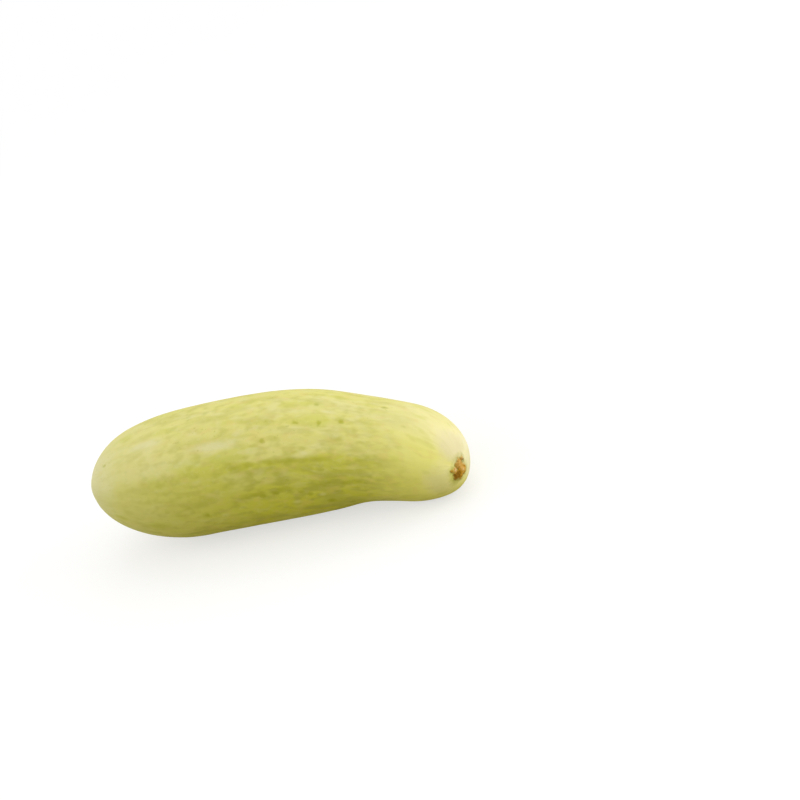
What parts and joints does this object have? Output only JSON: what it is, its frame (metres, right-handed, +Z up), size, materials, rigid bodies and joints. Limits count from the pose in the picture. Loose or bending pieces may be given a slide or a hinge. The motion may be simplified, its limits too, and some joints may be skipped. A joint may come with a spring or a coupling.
{
  "type": "white cucumber",
  "caption": "Whole white cucumber lying on its side, gently curved and tapering to a corky stem scar, with pale yellow-green satin skin.",
  "frame": {"origin": "on the surface that the fruit lies on, under the middle of its bounding box", "axes": "+X from the blossom end to the stem end, +Z up, and the fruit bends towards -Y"},
  "size_m": [0.188, 0.0644, 0.06],
  "materials": {
    "skin": "satin, waxy plant skin"
  },
  "bodies": {
    "root": {"cucumber": "skin"}
  },
  "joints": []
}
